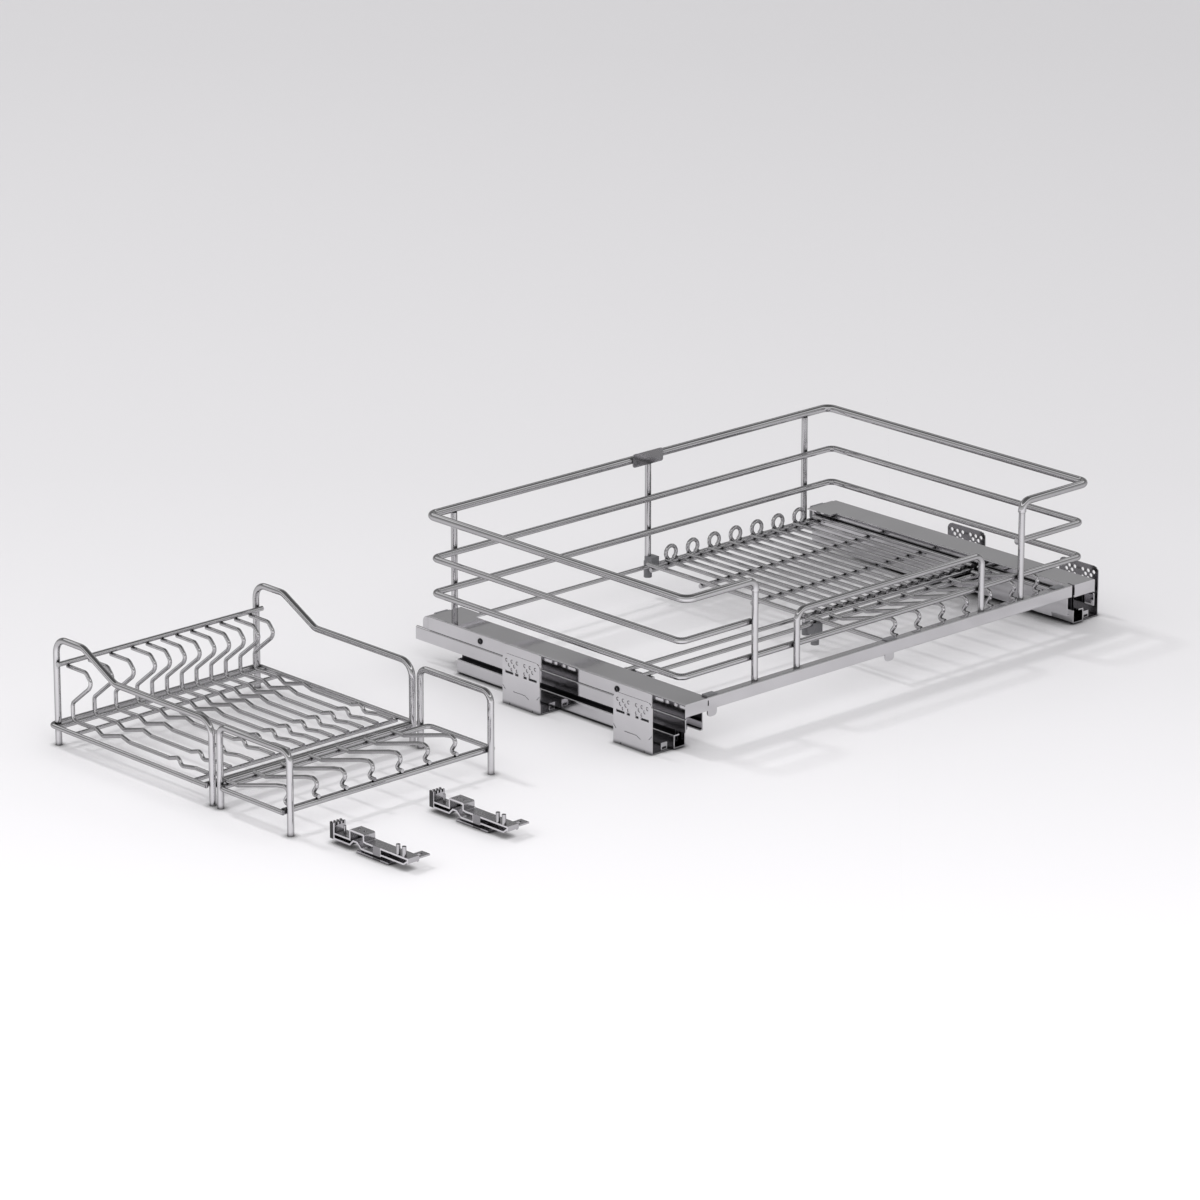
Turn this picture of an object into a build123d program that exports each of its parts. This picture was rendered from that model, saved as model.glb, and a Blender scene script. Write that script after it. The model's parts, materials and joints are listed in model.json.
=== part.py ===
"""Pull-out dish rack for the inside of a kitchen cabinet, with its loose wire inserts.

X runs to the right with 0 midway between the cabinet sides, Y runs into the cabinet from the
front face of the front bar, and Z is up from the cabinet floor. All sizes are in millimetres.
"""

import math
import os

from build123d import *

os.makedirs("parts", exist_ok=True)

# Cabinet and the pair of runners
cabinet_width = 764.0
runner_inset = 32.0
sheet = 1.5
sheet_bend = 1.7
clearance = 0.3

# Side covers
cover_top = 60.3
cover_width = 41.0
cover_depth = 451.0
cover_flange = 17.0
cover_lip = 8.3
front_flange_width = 36.3
front_flange_height = 15.8
rear_tab_width = 12.0
rear_tab_depth = 41.0

# Drawer members and the webs beside them
member_depth = 474.6
member_shoulder = 42.5
member_bottom = 25.8
member_shoulder_depth = 463.0
member_corner = 8.0
guide_bottom = 27.0
guide_front = 40.0
web_gap = 1.0
web_front = 7.6
web_rear_reach = 5.0
web_bottom = 12.0
web_notch_depth = 26.0
web_flange = 4.0
web_notch_height = 5.6
web_seat_reach = 48.5
web_seat_front = 143.0
web_seat_depth = 50.0
web_seat_top = 39.1
web_seat_fold = 7.0
web_window_depth = 39.0
web_window_height = 14.0
web_corner = 4.0

# Cabinet rails
rail_front = 18.5
rail_depth = 379.9
rail_width = 18.8
rail_height = 17.0
rail_overhang = 0.6
rail_lip = 8.8

# Middle members and their roller cages
middle_front = 26.0
middle_depth = 374.0
middle_width = 5.0
middle_wall = 1.2
middle_inset = 6.7
roller_diameter = 2.7
roller_length = 4.4
roller_pitch = 34.0
roller_count = 5
cage_depth = 150.0
cage_strip = 1.2
cage_wall_height = 8.0
cage_play = 0.4
lower_cage_front = 132.0
upper_cage_front = 140.0

# Cabinet brackets
bracket_width = 65.6
bracket_height = 63.4
bracket_corner = 8.0
front_bracket_at = 22.5
rear_bracket_at = 216.0
system_pitch = 32.0
hole_pitch = 9.3
hole_diameter = 5.0
top_row = 55.3
middle_row = 50.2
bottom_row = 45.2
slot_row = 41.0
slot_width = 3.8
long_slot = 14.0
long_slot_at = 20.6
short_slot = 5.6
short_slot_at = 7.3
groove = 0.5
arch_height = 18.3
arch_reach = 13.5
arch_end = 3.5
relief_at = 20.0
relief_width = 1.2
relief_height = 3.0
lug_gap = 5.4
lug_width = 10.0
lug_height = 11.0
lug_slot = 3.0
rivet_diameter = 5.0
rivet_play = 0.05

# Soft-close units
damper_front = 200.0
damper_depth = 130.0
damper_width = 13.0
damper_height = 14.0
catch_width = 8.0
catch_reach = 11.0
catch_height = 7.0

# Rims, posts and hoop of the basket
top_wire = 10.0
rim_wire = 8.0
floor_wire = 5.5
rim_inset = 8.7
post_line = 8.4
rim_rear_reach = 0.9
top_rim_height = 184.7
middle_rim_height = 131.9
lower_rim_height = 87.6
rim_bend = 9.0
top_bend = 12.0
joint_drop = 13.0
front_centre = -2.5
front_post_spacing = 454.0
rear_post_inset = 12.0
middle_rear_post = 24.4
rear_post_bottom = 40.0
hoop_width = 315.0
hoop_height = 132.0
hoop_bend = 13.0

# Front bar
bar_depth = 10.0
bar_height = 16.3
bar_bottom = 45.0
bar_tab = 14.0
hanging_tab = 15.0
hanging_tab_offset = -8.7
hanging_depth = 8.4
hanging_slot = 6.5
hanging_slot_width = 1.8
bar_clip_left = 9.2
bar_clip_offset = -3.3
bar_clip_right = 21.0
bar_clip_width = 16.0
bar_clip_sheet = 1.2

# Floor wires
floor_wire_height = 42.4
floor_wire_rows = (150.0, 178.0)

# Feet and clips that hold the inserts
clip_size = 13.0
clip_height = 14.0
foot_diameter = 10.5
foot_height = 14.0
clip_drop = 25.0
clip_lap = 1.2

# Badge plate
badge_width = 51.0
badge_height = 17.0
badge_left = -7.0
badge_thickness = 1.5

# Screws in the side covers
screw_rows = (116.0, 357.0)
screw_height = 51.0
screw_shank = 4.0
screw_head = 7.6
screw_head_height = 1.8
screw_reach = 3.4

# Rear end pieces
end_piece_depth = 12.0
end_piece_height = 19.0
end_piece_round = 5.0

# Wires of the inserts
hoop_wire = 8.0
frame_wire = 6.0
plate_wire = 5.0
insert_bend = 12.0
frame_bend = 8.0

# Plate insert at the back of the left compartment, standing beside the rack
insert_spacing = 302.0
left_insert_x = -863.0
plate_insert_front = 240.0
plate_insert_depth = 283.0
plate_back_height = 131.5
plate_side_height = 101.5
plate_back_run = 51.0
plate_slope_run = 58.4
plate_rail_height = 101.0
plate_bend = 18.0
plate_frame_height = 24.5
wide_slots = 3
wide_pitch = 32.0
narrow_slots = 8
first_plate_wire = 12.2
last_plate_wire = 13.8
plate_comb = ((5.0, 0.0), (39.0, 0.0), (49.0, -11.0), (44.0, -19.0))
plate_comb_drop = 44.0
plate_dips = (
    (31.0, 0.0),
    (56.0, 1.0),
    (68.0, -5.0),
    (103.0, 4.0),
    (118.0, 0.0),
    (191.0, 0.0),
    (208.0, 5.0),
    (212.0, -4.0),
    (238.0, 0.0),
    (262.0, 0.0),
)
plate_cross_runs = (33.0, 250.0)

# Bowl insert at the front of the left compartment, standing beside the rack
bowl_insert_front = 103.0
bowl_insert_depth = 123.0
bowl_hoop_height = 99.0
bowl_frame_height = 28.0
bowl_bends = (
    (97.0, 0.0),
    (27.0, 18.5),
    (15.0, 20.5),
    (8.0, 18.5),
    (8.0, 12.5),
    (14.0, 4.0),
    (12.0, 1.0),
    (4.5, 1.0),
)
bowl_wires = 7
first_bowl_wire = 4.4
last_bowl_wire = 48.0

# Inserts that lie in the right compartment
right_insert_left = 12.0
right_insert_gap = 6.1
flat_insert_front = 166.0
flat_insert_gap = 15.4
flat_rail_rows = (168.0, 258.0, 350.0)
flat_last_rail = 5.5
flat_pairs = 7
first_flat_wire = 28.2
last_flat_wire = 20.8
loop_radius = 8.8
loop_rise = 8.5
loop_turns = 6
loop_turn = 45.0
front_insert_y = 18.0
front_insert_first_wire = 12.3
front_insert_last_wire = 31.5
front_side_depth = 138.0

# Front locking devices that lie in front of the inserts
lock_places = ((-844.5, 57.0), (-695.4, 58.0))
lock_width = 16.5
lock_sheet = 2.0
lock_bottom = 5.6
lock_top = 14.6
lock_rise = 9.3
lock_arch = 11.4
lock_end = 25.0
lock_length = 132.5
lock_box = (35.2, 56.5)
lock_foot = (45.5, 99.5)
lock_foot_height = 2.6
lock_tab_reach = 16.0
lock_tab_depth = 13.5
lock_pin = 5.0
lock_pin_height = 28.5
small_pin = 3.0
small_pin_at = 16.5
lock_pins_at = (113.5, 123.5)

# Sizes that follow from those above
runner_face = cabinet_width / 2 - runner_inset
cover_inner = runner_face - cover_width
shelf_top = cover_top - sheet
web_face = cover_inner + sheet + web_gap
web_rear = cover_depth + web_rear_reach
rail_outer = runner_face + rail_overhang
lug_x = (rail_outer + lug_gap, rail_outer + lug_gap + lug_width)
rail_inner = rail_outer - rail_width
rail_bottom = sheet
rail_floor = rail_bottom + sheet
middle_x = rail_inner + middle_inset
rim_front = post_line + rim_wire
rim_back = cover_depth + rim_rear_reach
rim_depth = rim_back - rim_front
rear_post_line = rim_back + rim_wire
flat_insert_back = rear_post_line - flat_insert_gap
flat_rails = (*flat_rail_rows, flat_insert_back - flat_last_rail)
bar_top = bar_bottom + bar_height
joint_height = top_rim_height - joint_drop
middle_post_bottom = rear_post_bottom + clip_height / 2
rear_floor_line = rear_post_line - rim_wire / 2 - floor_wire / 2
rim_half_width = runner_face - rim_inset
rear_post_spacing = 2 * (web_face - rear_post_inset)
bar_left = front_flange_width - runner_face
bar_length = cover_inner - bar_left
hanging_tab_places = (bar_left + hanging_tab / 2, front_centre + hanging_tab_offset)
bar_clip_places = (bar_left + bar_clip_left, front_centre + bar_clip_offset, cover_inner - bar_clip_right)
roller_gap = roller_diameter + 2 * clearance
middle_bottom = rail_floor + roller_gap
middle_top = shelf_top - sheet - roller_gap
weld = 0.02
right_seat = floor_wire_height + floor_wire / 2 + clearance + frame_wire / 2
right_front_back = front_insert_y + bowl_insert_depth - hoop_wire / 2 - frame_wire / 2
right_insert_width = web_face - right_insert_gap - right_insert_left
flat_pitch = (right_insert_width - first_flat_wire - last_flat_wire) / (2 * flat_pairs - 1)
front_insert_run = right_insert_width - front_insert_first_wire - front_insert_last_wire
bowl_run = insert_spacing - first_bowl_wire - last_bowl_wire
narrow_run = insert_spacing - first_plate_wire - wide_slots * wide_pitch - last_plate_wire
narrow_pitch = narrow_run / narrow_slots


def box(x, y, z):
    """A block between two corners, each given as a pair of limits."""
    size = (x[1] - x[0], y[1] - y[0], z[1] - z[0])
    centre = ((x[0] + x[1]) / 2, (y[0] + y[1]) / 2, (z[0] + z[1]) / 2)
    return Pos(*centre) * Box(*size)


def rod(start, end, diameter):
    """A straight round wire or pin."""
    line = Vector(*end) - Vector(*start)
    middle = Plane(origin=Vector(*start), z_dir=line)
    return middle * Pos(0, 0, line.length / 2) * Cylinder(diameter / 2, line.length)


def bent_wire(points, diameter, bend):
    """One round wire, bent to the same radius at each inner point."""
    path = FilletPolyline(*points, radius=bend)
    section = Plane(origin=path @ 0, z_dir=path % 0) * Circle(diameter / 2)
    return sweep(section, path=path)


def drawn_wire(points, diameter, across=(1, 0, 0)):
    """One of many thin wires in the plane square to across, light, with six flats and mitred turns."""
    path = Polyline(*points)
    place = Plane(origin=path @ 0, x_dir=across, z_dir=path % 0)
    section = place * RegularPolygon(diameter / 2, 6, major_radius=False)
    return sweep(section, path=path, transition=Transition.RIGHT)


def folded(outline, start, end):
    """Sheet folded along its outer outline in X and Z, running from start to end in depth."""
    face_line = FilletPolyline(*outline, radius=sheet_bend)
    section = make_face(face_line.offset_2d(sheet, side=Side.RIGHT, closed=True))
    return extrude(Plane.XZ.offset(-end) * section, end - start)


def plate(outline, x, thickness):
    """A flat sheet in Y and Z at one X, its thickness laid towards larger X."""
    return extrude(Plane.YZ.offset(x) * make_face(Polyline(*outline, close=True)), thickness)


def both_sides(name, shape):
    """The right piece and its mirror image on the left."""
    export("right_" + name, shape)
    export("left_" + name, mirror(shape, about=Plane.YZ))


def export(name, *solids):
    """Write one node from its separate solids."""
    pieces = [solid for shape in solids for solid in shape.solids()]
    export_step(Compound(pieces), f"parts/{name}.step")


# Side covers of folded sheet, open below
def side_cover():
    outline = [
        (cover_inner, cover_top - cover_lip),
        (cover_inner, cover_top),
        (runner_face, cover_top),
        (runner_face, cover_top - cover_flange),
    ]
    cover = folded(outline, 0, cover_depth)
    flange_inner = runner_face - front_flange_width
    cover += box((flange_inner, runner_face), (0, sheet), (cover_top - front_flange_height, shelf_top))
    notch = (cover_inner - 1, flange_inner)
    cover -= box(notch, (-1, bar_depth + clearance), (cover_top - cover_flange, cover_top + 1))
    tab = (cover_inner - rear_tab_width, cover_inner + sheet)
    cover += box(tab, (cover_depth - rear_tab_depth, cover_depth), (shelf_top, cover_top))
    for row in screw_rows:
        place = (runner_face - 2 * sheet, row, screw_height)
        cover -= rod(place, (runner_face + sheet, row, screw_height), screw_shank + 2 * rivet_play)
    return cover


# Drawer members, whose outer wall steps in under the cover
def drawer_member():
    outer = runner_face
    inner = rail_inner + sheet / 2
    outline = [
        (inner, guide_bottom),
        (inner, shelf_top),
        (outer - sheet, shelf_top),
        (outer - sheet, member_shoulder),
        (outer, member_shoulder - sheet),
        (outer, member_bottom),
    ]
    member = folded(outline, 0, member_depth)
    side = Polyline(
        (0, guide_bottom - 2 * sheet),
        (member_depth, guide_bottom - 2 * sheet),
        (member_depth, member_shoulder),
        (member_shoulder_depth, member_shoulder),
        (member_shoulder_depth, shelf_top),
        (sheet, shelf_top),
        (sheet, member_shoulder),
        (0, member_shoulder),
        close=True,
    )
    mask = make_face(side)
    at_shoulder = mask.vertices().filter_by(lambda v: abs(v.X - member_shoulder_depth) < weld)
    mask = fillet(at_shoulder.sort_by(Axis.Y)[-1], member_corner)
    member &= extrude(Plane.YZ.offset(inner - 1) * mask, outer - inner + 2)
    member -= box((inner - 1, inner + 2 * sheet), (-1, guide_front), (0, shelf_top - sheet - sheet_bend))
    for row in screw_rows:
        place = (outer - 4 * sheet, row, screw_height)
        member -= rod(place, (outer + sheet, row, screw_height), screw_shank + 2 * rivet_play)
    return member


# Inner webs, which hang under the inner edge of the covers and carry the floor wires
def inner_web():
    bar_back = bar_depth + clearance
    notch_end = bar_back + web_notch_depth
    notch_top = web_bottom + web_notch_height
    outline = [
        (bar_back, shelf_top),
        (bar_back, notch_top),
        (notch_end, notch_top),
        (notch_end, web_bottom),
        (web_rear, web_bottom),
        (web_rear, shelf_top),
    ]
    web = plate(outline, web_face, sheet)
    web += box((web_face, web_face + web_flange), (bar_back, notch_end), (notch_top, notch_top + sheet))
    window_top = member_shoulder + web_window_height - web_corner
    window_bottom = window_top - web_window_height
    window_front = bar_back + web_corner
    web -= box(
        (web_face - 1, web_face + sheet + 1),
        (window_front, window_front + web_window_depth),
        (window_bottom, window_top),
    )
    top = (web_face, rail_inner)
    web += box(top, (bar_back, cover_depth), (shelf_top - sheet, shelf_top))
    tongue_z = (bar_bottom + sheet + clearance, shelf_top - sheet)
    web += box((web_face, web_face + sheet), (web_front, bar_back), tongue_z)
    web += box((web_face - bar_tab, web_face + sheet), (web_front, web_front + sheet), tongue_z)
    seat_x = (web_face - web_seat_reach, web_face + sheet)
    seat_back = web_seat_front + web_seat_depth
    web += box(seat_x, (web_seat_front, seat_back), (web_seat_top - sheet, web_seat_top))
    fold = (web_seat_front, web_seat_front + sheet)
    web += box(seat_x, fold, (web_seat_top - web_seat_fold, web_seat_top))
    catch = (web_face, web_face + sheet + catch_reach)
    behind = damper_front - 2 * clearance
    web += box(catch, (behind - catch_width, behind), (web_bottom, web_bottom + sheet))
    catch_z = (web_bottom, web_bottom + catch_height)
    web += box((catch[1] - sheet, catch[1]), (behind - catch_width, behind), catch_z)
    return web


# Rear end pieces, moulded plugs between cover and rear posts
def rear_end_piece():
    outline = [
        (cover_depth, shelf_top - end_piece_height),
        (cover_depth + end_piece_depth, shelf_top - end_piece_height),
        (cover_depth + end_piece_depth, shelf_top),
        (cover_depth, shelf_top),
    ]
    section = make_face(Polyline(*outline, close=True))
    back = section.vertices().filter_by(lambda v: v.X > cover_depth + 1)
    section = fillet(back, end_piece_round)
    piece = extrude(Plane.YZ.offset(web_face + sheet) * section, rail_inner - web_face - sheet)
    tongue_y = (cover_depth - rear_tab_depth / 2, cover_depth + sheet)
    tongue_z = (shelf_top - end_piece_height / 2, shelf_top - sheet)
    piece += box((web_face + sheet, rail_inner - clearance), tongue_y, tongue_z)
    return piece


# Cabinet rails, open above with an inward lip at the outer wall
def cabinet_rail():
    top = rail_bottom + rail_height
    outline = [
        (rail_outer - rail_lip, top),
        (rail_outer, top),
        (rail_outer, rail_bottom),
        (rail_inner, rail_bottom),
        (rail_inner, top),
    ]
    rail = folded(outline, rail_front, rail_front + rail_depth)
    for place in rivet_places():
        rail -= rod((*place, 0), (*place, rail_height / 2), rivet_diameter)
    return rail


def bracket_fronts():
    return (("front", front_bracket_at), ("rear", rear_bracket_at))


def rivet_places():
    """Two rivets through the rail floor at each bracket foot."""
    places = []
    for _, front in bracket_fronts():
        for share in (0.25, 0.75):
            places.append(((rail_inner + rail_outer) / 2, front + share * bracket_width))
    return places


# Cabinet brackets, angles of folded sheet with rows of holes at the system pitch
def bracket_holes():
    """Each hole's distance from the middle of the bracket, and its height."""
    half = system_pitch / 2
    holes = []
    for group in (-half, half):
        holes += [(group + step, top_row) for step in (-hole_pitch, 0, hole_pitch)]
        holes += [(group + step / 2, middle_row) for step in (-hole_pitch, hole_pitch)]
    for side in (-1, 1):
        holes += [(side * at, bottom_row) for at in (half - hole_pitch, half)]
    return holes


def bracket_grooves():
    """The pressed arch and the two short lines beside it, as runs of points."""
    arch = [
        (arch_reach, arch_height),
        (-arch_reach / 2, arch_height),
        (-arch_reach, arch_height - arch_end),
    ]
    reach = bracket_width / 2
    high = arch_height + 5
    return [arch] + [[(side * reach, high), (side * (reach - 5), arch_height)] for side in (-1, 1)]


def cabinet_bracket(front):
    back = front + bracket_width
    middle = (front + back) / 2
    wall = cabinet_width / 2
    outline = [(front, 0), (back, 0), (back, bracket_height), (front, bracket_height)]
    section = make_face(Polyline(*outline, close=True))
    section = fillet(section.vertices().sort_by(Axis.Y)[-2:], bracket_corner)
    upright = extrude(Plane.YZ.offset(wall - sheet) * section, sheet)
    for at, row in bracket_holes():
        upright -= rod((wall - 2 * sheet, middle + at, row), (wall + sheet, middle + at, row), hole_diameter)
    through = (wall - 2 * sheet, wall + sheet)
    slot_z = (slot_row - slot_width / 2, slot_row + slot_width / 2)
    for side in (-1, 1):
        for at, length in ((long_slot_at, long_slot), (short_slot_at, short_slot)):
            place = middle + side * at
            upright -= box(through, (place - length / 2, place + length / 2), slot_z)
        notch = middle + side * relief_at
        upright -= box(through, (notch - relief_width / 2, notch + relief_width / 2), (-1, relief_height))
    for run in bracket_grooves():
        for start, end in zip(run, run[1:]):
            ends = [(wall, middle + y, z) for y, z in (start, end)]
            upright -= rod(*ends, 2 * groove)
    foot = box((rail_inner - clearance, wall - sheet / 2), (front, back), (0, sheet))
    lug_y = (front + sheet, front + 2 * sheet)
    lug = box(lug_x, lug_y, (sheet / 2, lug_height))
    lug -= box((lug_x[0] + sheet, lug_x[1] - sheet), (front, back), (lug_slot, 2 * lug_slot))
    bracket = upright + foot + lug
    for place in rivet_places():
        bracket -= rod((*place, -1), (*place, sheet + 1), rivet_diameter)
    return bracket


def bracket_rivets():
    diameter = rivet_diameter - 2 * rivet_play
    return [rod((*place, 0), (*place, rail_floor), diameter) for place in rivet_places()]


# Middle members, closed profiles that run in the rail below and the drawer member above
def middle_member():
    height = middle_top - middle_bottom
    section = RectangleRounded(middle_width, height, sheet_bend)
    hollow = (middle_width - 2 * middle_wall, height - 2 * middle_wall)
    section -= RectangleRounded(*hollow, sheet_bend - middle_wall)
    plane = Plane.XZ.offset(-(middle_front + middle_depth))
    profile = plane * Pos(middle_x, (middle_top + middle_bottom) / 2) * section
    return extrude(profile, middle_depth)


def roller_places(front):
    first = front + (cage_depth - (roller_count - 1) * roller_pitch) / 2
    return [first + index * roller_pitch for index in range(roller_count)]


def roller_cage(front, strip_middle, walls, wall_side):
    """A strip with roller windows and a guide wall along each edge."""
    y = (front, front + cage_depth)
    inner, outer, inner_wall, outer_wall = walls
    strip = (strip_middle - cage_strip / 2, strip_middle + cage_strip / 2)
    cage = box((inner, outer), y, strip)
    tall = sorted((strip_middle - wall_side * cage_strip / 2, strip_middle + wall_side * cage_wall_height))
    cage += box((inner, inner + inner_wall), y, tall)
    cage += box((outer - outer_wall, outer), y, tall)
    half = roller_length / 2 + clearance
    for place in roller_places(front):
        window = (place - roller_diameter / 2 - clearance, place + roller_diameter / 2 + clearance)
        cage -= box((middle_x - half, middle_x + half), window, (strip[0] - 1, strip[1] + 1))
    return cage


def rollers(front, height):
    half = roller_length / 2
    return [
        rod((middle_x - half, place, height), (middle_x + half, place, height), roller_diameter)
        for place in roller_places(front)
    ]


def lower_walls():
    inner = rail_inner + sheet
    outer = rail_outer - sheet
    inner_gap = middle_x - middle_width / 2 - inner
    outer_gap = outer - middle_x - middle_width / 2
    return inner + cage_play, outer - cage_play, inner_gap - 2 * cage_play, outer_gap - 2 * cage_play


def upper_walls():
    guide = rail_inner + sheet / 2 + sheet
    wall = runner_face - 2 * sheet
    inner_gap = middle_x - middle_width / 2 - guide
    outer_gap = wall - middle_x - middle_width / 2
    return guide + cage_play, wall - cage_play, inner_gap - 2 * cage_play, outer_gap - 2 * cage_play


# Soft-close units beside the rails, a closed housing round a cylinder
def soft_close_unit():
    outer = rail_inner
    inner = outer - damper_width
    bottom = rail_floor
    half = damper_height / 2
    housing = Pos((inner + outer) / 2, 0, bottom + half) * Box(damper_width, damper_depth, damper_height)
    housing = Pos(0, damper_front + damper_depth / 2, 0) * housing
    edges = housing.edges().filter_by(Axis.Y).sort_by(Axis.X)[:2]
    housing = fillet(edges, sheet_bend)
    tip = damper_front + damper_depth
    cylinder = rod(
        ((inner + outer) / 2, tip - 1, bottom + half),
        ((inner + outer) / 2, tip + damper_depth / 4, bottom + half),
        damper_width * 0.6,
    )
    return housing + cylinder


# Basket rims, posts and hoop of round wire
def rim(height, open_front):
    half = rim_half_width
    left_post = front_centre - front_post_spacing / 2
    right_post = front_centre + front_post_spacing / 2
    if not open_front:
        path = Plane.XY.offset(height) * Pos(0, rim_front + rim_depth / 2) * RectangleRounded(
            2 * half, rim_depth, rim_bend
        )
        wire = path.wire()
        section = Plane(origin=wire @ 0, z_dir=wire % 0) * Circle(rim_wire / 2)
        return sweep(section, path=wire)
    points = [
        (left_post, rim_front, height),
        (-half, rim_front, height),
        (-half, rim_back, height),
        (half, rim_back, height),
        (half, rim_front, height),
        (right_post, rim_front, height),
    ]
    return bent_wire(points, rim_wire, rim_bend)


def top_rim():
    half = rim_half_width
    left_post = front_centre - front_post_spacing / 2
    right_post = front_centre + front_post_spacing / 2
    height = top_rim_height
    points = [
        (left_post, post_line, joint_height),
        (left_post, post_line, height),
        (-half, post_line, height),
        (-half, rear_post_line, height),
        (half, rear_post_line, height),
        (half, post_line, height),
        (right_post, post_line, height),
        (right_post, post_line, joint_height),
    ]
    return bent_wire(points, top_wire, top_bend)


def front_hoop():
    left = front_centre - hoop_width / 2
    right = front_centre + hoop_width / 2
    points = [
        (left, post_line, bar_top),
        (left, post_line, hoop_height),
        (right, post_line, hoop_height),
        (right, post_line, bar_top),
    ]
    return bent_wire(points, rim_wire, hoop_bend)


def rear_post(x, bottom):
    top = top_rim_height - top_wire / 2 + weld
    return rod((x, rear_post_line, bottom), (x, rear_post_line, top), rim_wire)


# Front bar, a channel open to the back, with round tabs that hang from its front face
def front_bar():
    outline = [(bar_depth, bar_bottom), (0, bar_bottom), (0, bar_top), (bar_depth, bar_top)]
    line = FilletPolyline(*outline, radius=sheet_bend)
    section = make_face(line.offset_2d(sheet, side=Side.RIGHT, closed=True))
    bar = extrude(Plane.YZ.offset(bar_left) * section, bar_length)
    height = hanging_depth + 2 * sheet_bend
    for place in hanging_tab_places:
        tab = RectangleRounded(hanging_tab, 2 * height, hanging_tab / 3)
        tab &= Pos(0, -height / 2) * Rectangle(hanging_tab, height)
        tab = Plane.XZ.offset(-sheet) * Pos(place, bar_bottom + 2 * sheet_bend) * tab
        bar += extrude(tab, sheet)
    slot = (bar_left - 1, bar_left + hanging_slot_width)
    slot_z = (bar_top - bar_height / 4 - hanging_slot, bar_top - bar_height / 4)
    return bar - box(slot, (-1, sheet + 1), slot_z)


def bar_clips():
    """Flat clips that lie on top of the bar above its tabs and hook over its back edge."""
    half = bar_clip_width / 2
    behind = bar_depth + clearance
    back = behind + bar_clip_sheet
    top = bar_top + bar_clip_sheet
    pieces = []
    for place in bar_clip_places:
        flat = box((place - half, place + half), (bar_clip_sheet, back), (bar_top, top))
        hook_x = (place, place + half)
        pieces.append(flat + box(hook_x, (behind, back), (bar_top - 3 * sheet, top)))
    return pieces


def floor_wire_at(row):
    ends = [(x, row, floor_wire_height) for x in (-web_face, web_face)]
    return rod(*ends, floor_wire)


def clip(x, y, z, foot_x, foot_y):
    """A moulded block with a round foot below it."""
    half = clip_size / 2
    block = box((x - half, x + half), (y - half, y + half), (z - clip_height, z))
    low = z - clip_height - foot_height
    return block + rod((foot_x, foot_y, low), (foot_x, foot_y, z - clip_height / 2), foot_diameter)


def clips():
    """The clips on the middle rear post, on the floor wires and on the front bar."""
    post = (middle_rear_post, rear_post_line)
    top = floor_wire_height + clip_lap
    front_row, middle_row = floor_wire_rows
    rear = clip(post[0] + 2, post[1] - 5, middle_post_bottom + clip_height / 2, *post)
    rear -= floor_wire_at(rear_floor_line)
    rear -= rod((*post, middle_post_bottom), (*post, top_rim_height), rim_wire)
    middle = rod((post[0], middle_row, top - clip_drop), (post[0], middle_row, top), foot_diameter)
    middle -= floor_wire_at(middle_row)
    front = clip(right_insert_left, front_row, top, right_insert_left, front_row)
    front -= floor_wire_at(front_row)
    return (("rear_clip", rear), ("middle_clip", middle), ("front_clip", front))


# Blank badge plate in front of the top rim, with its rounded corners
def badge_plate():
    back = rear_post_line - top_wire / 2
    height = top_rim_height
    outline = Pos(badge_left + badge_width / 2, height) * RectangleRounded(badge_width, badge_height, 3)
    return extrude(Plane.XZ.offset(-back) * outline, badge_thickness)


# Screws that hold the covers to the drawer members
def cover_screws():
    screws = []
    for side in (-1, 1):
        for row in screw_rows:
            tip = (side * (runner_face - screw_reach), row, screw_height)
            seat = (side * runner_face, row, screw_height)
            top = (side * (runner_face + screw_head_height), row, screw_height)
            screws.append(rod(tip, seat, screw_shank) + rod(seat, top, screw_head))
    return screws


# Side hoops, frames and wires of the inserts
def plate_insert_frame():
    front = plate_insert_front
    back = front + plate_insert_depth
    reach = hoop_wire / 2 + frame_wire / 2
    pieces = []
    for x in (left_insert_x, left_insert_x + insert_spacing):
        points = [
            (x, back, 0),
            (x, back, plate_back_height),
            (x, back - plate_back_run, plate_back_height),
            (x, back - plate_back_run - plate_slope_run, plate_side_height),
            (x, front, plate_side_height),
            (x, front, 0),
        ]
        pieces.append(bent_wire(points, hoop_wire, plate_bend))
    left = left_insert_x - reach
    right = left_insert_x + insert_spacing + reach
    height = plate_frame_height
    loop = [
        (left, front + 2, height),
        (left, back + reach, height),
        (right, back + reach, height),
        (right, front + 2, height),
    ]
    pieces.append(bent_wire(loop, frame_wire, frame_bend))
    inner = left_insert_x + hoop_wire / 2 - weld
    outer = left_insert_x + insert_spacing - hoop_wire / 2 + weld
    pieces.append(rod((inner, front, height), (outer, front, height), hoop_wire))
    for y in (front + reach, back - reach):
        pieces.append(rod((left, y, height), (right, y, height), frame_wire))
    rail_ends = (left_insert_x - hoop_wire / 2, left_insert_x + insert_spacing + hoop_wire / 2)
    pieces.append(rod(*[(x, back - reach, plate_rail_height) for x in rail_ends], frame_wire))
    return pieces


def plate_insert_wires():
    back = plate_insert_front + plate_insert_depth
    seat = plate_frame_height + frame_wire / 2 + plate_wire / 2
    wall = back - hoop_wire / 2 - frame_wire - plate_wire / 2
    top = plate_rail_height - frame_wire / 2 - plate_wire / 2
    profile = [(back - run, top + rise) for run, rise in plate_comb]
    profile += [(wall, top - plate_comb_drop), (wall, seat)]
    profile += [(back - run, seat + rise) for run, rise in plate_dips]
    places = [first_plate_wire + wide_pitch * index for index in range(wide_slots + 1)]
    places += [places[-1] + narrow_pitch * (index + 1) for index in range(narrow_slots)]
    wires = []
    for place in places:
        x = left_insert_x + place
        wires.append(drawn_wire([(x, y, z) for y, z in profile], plate_wire))
    return wires


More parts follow.
